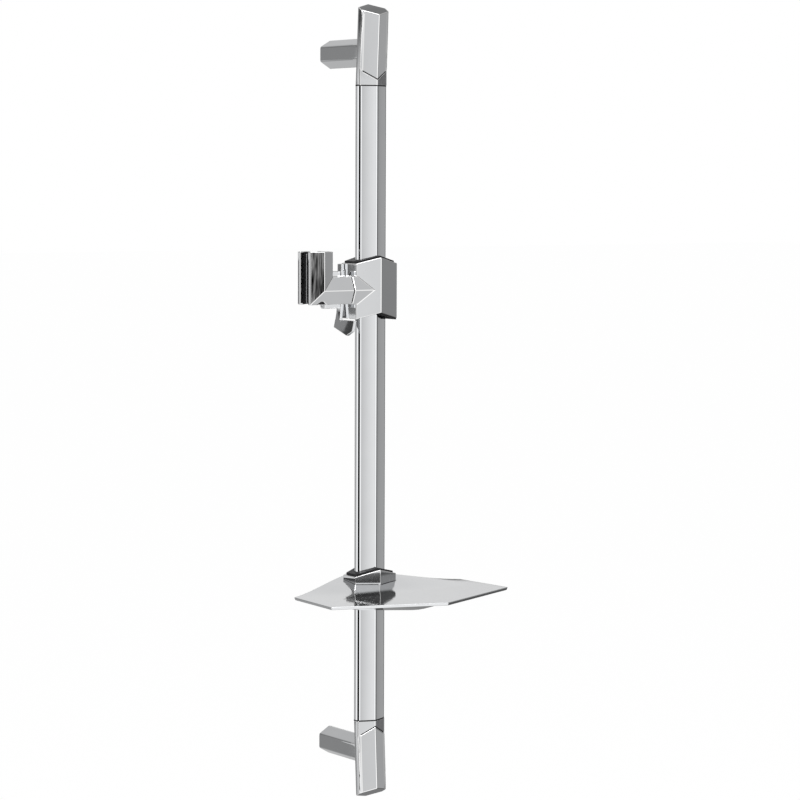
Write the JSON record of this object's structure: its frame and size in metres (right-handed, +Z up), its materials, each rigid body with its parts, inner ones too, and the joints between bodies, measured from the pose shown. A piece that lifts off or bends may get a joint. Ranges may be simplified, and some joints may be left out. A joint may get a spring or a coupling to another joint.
{
  "type": "shower slide rail",
  "caption": "Wall-mounted hexagonal chrome shower rail on two posts, with a sliding, tilting handset holder released by a small lever and a sliding five-sided shelf.",
  "frame": {"origin": "on the wall plane, midway between the two wall screw holes", "axes": "+Y into the wall along the screws, +Z up along the rail, +X to the user's right"},
  "size_m": [0.19, 0.174, 0.6958],
  "materials": {
    "polished_chrome": "mirror-polished chrome plating",
    "dark_plastic": "satin black moulded plastic",
    "pale_nylon": "natural nylon",
    "bright_steel": "bright stainless steel",
    "brake_rubber": "dull black rubber"
  },
  "bodies": {
    "frame": {"rail_tube": "polished_chrome", "upper_end_cap": "polished_chrome", "lower_end_cap": "polished_chrome", "upper_wall_post": "polished_chrome", "lower_wall_post": "polished_chrome", "upper_wall_bush": "pale_nylon", "lower_wall_bush": "pale_nylon", "post_grub_screws": "bright_steel", "post_screws": "bright_steel"},
    "slider": {"slider_body": "polished_chrome", "slider_core": "dark_plastic", "lever_spring": "bright_steel", "lever_pin": "bright_steel", "friction_washer": "pale_nylon", "spring_washer": "bright_steel"},
    "lever": {"release_lever": "polished_chrome", "brake_pad": "brake_rubber"},
    "holder": {"holder_arm": "polished_chrome", "holder_insert": "dark_plastic", "pivot_bolt": "bright_steel"},
    "shelf": {"shelf_plate": "polished_chrome", "shelf_clamp": "polished_chrome", "shelf_core": "dark_plastic", "shelf_collar": "dark_plastic", "shelf_screws": "bright_steel", "shelf_lock_screw": "bright_steel"}
  },
  "joints": [
    {"name": "slider_slide", "type": "slide", "parent": "frame", "child": "slider", "axis": [0, 0, 1], "range_m": [-0.1, 0.14]},
    {"name": "holder_tilt", "type": "hinge", "parent": "slider", "child": "holder", "pos_m": [-0.0272, -0.061, 0.1013], "axis": [1, 0, 0], "range_deg": [-45, 60]},
    {"name": "lever_press", "type": "hinge", "parent": "slider", "child": "lever", "pos_m": [-0.0239, -0.05, 0.093], "axis": [0, -1, 0], "range_deg": [0, 3.5], "stiffness_Nm_per_rad": 0.5, "springref_deg": -2.86},
    {"name": "shelf_slide", "type": "slide", "parent": "frame", "child": "shelf", "axis": [0, 0, 1], "range_m": [-0.095, 0.06]}
  ]
}
